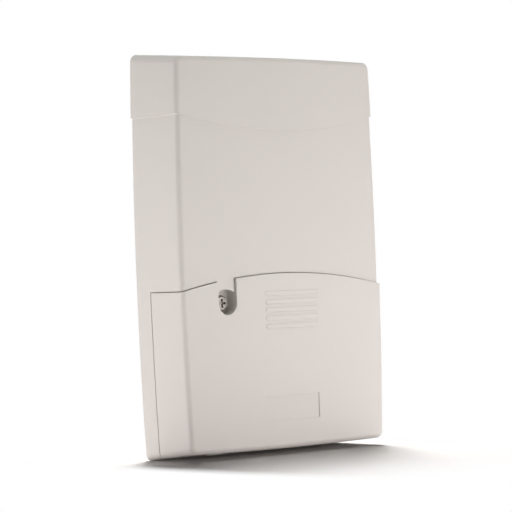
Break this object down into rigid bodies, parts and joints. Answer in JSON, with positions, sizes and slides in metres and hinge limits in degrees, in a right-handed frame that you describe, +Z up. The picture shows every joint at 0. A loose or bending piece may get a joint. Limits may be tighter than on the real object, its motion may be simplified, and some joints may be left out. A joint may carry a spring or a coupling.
{
  "type": "wireless zone expander",
  "caption": "Slim upright wall box for an alarm system: wireless receiver board between a back plate and a two-part off-white cover with a screw well, grip ribs and an arched seam.",
  "frame": {"origin": "under the middle of the box, level with its lowest edge: the lowest edge of the upper cover at the wall", "axes": "+Z up, +X to the right seen from the front, -Y out of the front face, +Y into the wall"},
  "size_m": [0.097, 0.028, 0.1507],
  "materials": {
    "cover_plastic": "fine satin moulding texture",
    "plate_plastic": "plain matt moulding",
    "screw_steel": "zinc plated",
    "board_laminate": "solder resist over glass laminate",
    "receiver_laminate": "solder resist over glass laminate",
    "terminal_plastic": "moulded",
    "terminal_metal": "plated",
    "black_plastic": "moulded",
    "plunger_plastic": "moulded",
    "spring_steel": "drawn wire",
    "pin_metal": "gold flash",
    "shield_metal": "tinned sheet",
    "antenna_metal": "tinned wire",
    "chip_resin": "moulded resin",
    "lead_metal": "tinned",
    "capacitor_can": "drawn can",
    "lamp_lens": "clear tinted resin",
    "jumper_plastic": "moulded",
    "resistor_body": "glazed",
    "chip_capacitor_body": "fired ceramic"
  },
  "bodies": {
    "case": {"antenna_left": "antenna_metal", "antenna_right": "antenna_metal", "back_plate": "plate_plastic", "board_screws": "screw_steel", "bus_terminal_block": "terminal_plastic", "bus_terminal_clamps": "terminal_metal", "bus_terminal_screws": "terminal_metal", "capacitor_large": "capacitor_can", "capacitors_small": "capacitor_can", "chip_capacitors": "chip_capacitor_body", "cover_screw": "screw_steel", "crystal": "shield_metal", "jumper_caps": "jumper_plastic", "jumper_header": "black_plastic", "jumper_pins": "pin_metal", "lower_cover": "cover_plastic", "main_board": "board_laminate", "memory_chip": "chip_resin", "memory_chip_leads": "lead_metal", "processor": "chip_resin", "processor_leads": "lead_metal", "receiver_board": "receiver_laminate", "receiver_header": "black_plastic", "receiver_header_pins": "pin_metal", "receiver_shield": "shield_metal", "resistors": "resistor_body", "status_lamps": "lamp_lens", "tamper_spring": "spring_steel", "tamper_switch_body": "black_plastic", "upper_cover": "cover_plastic", "voltage_regulator": "chip_resin"},
    "plunger": {"tamper_plunger": "plunger_plastic"}
  },
  "joints": [
    {"name": "tamper_plunger_slide", "type": "slide", "parent": "case", "child": "plunger", "axis": [0, -1, 0], "range_m": [-0.0006, 0], "stiffness_N_per_m": 300, "springref_m": 0.001, "deforming": ["tamper_spring"]}
  ]
}
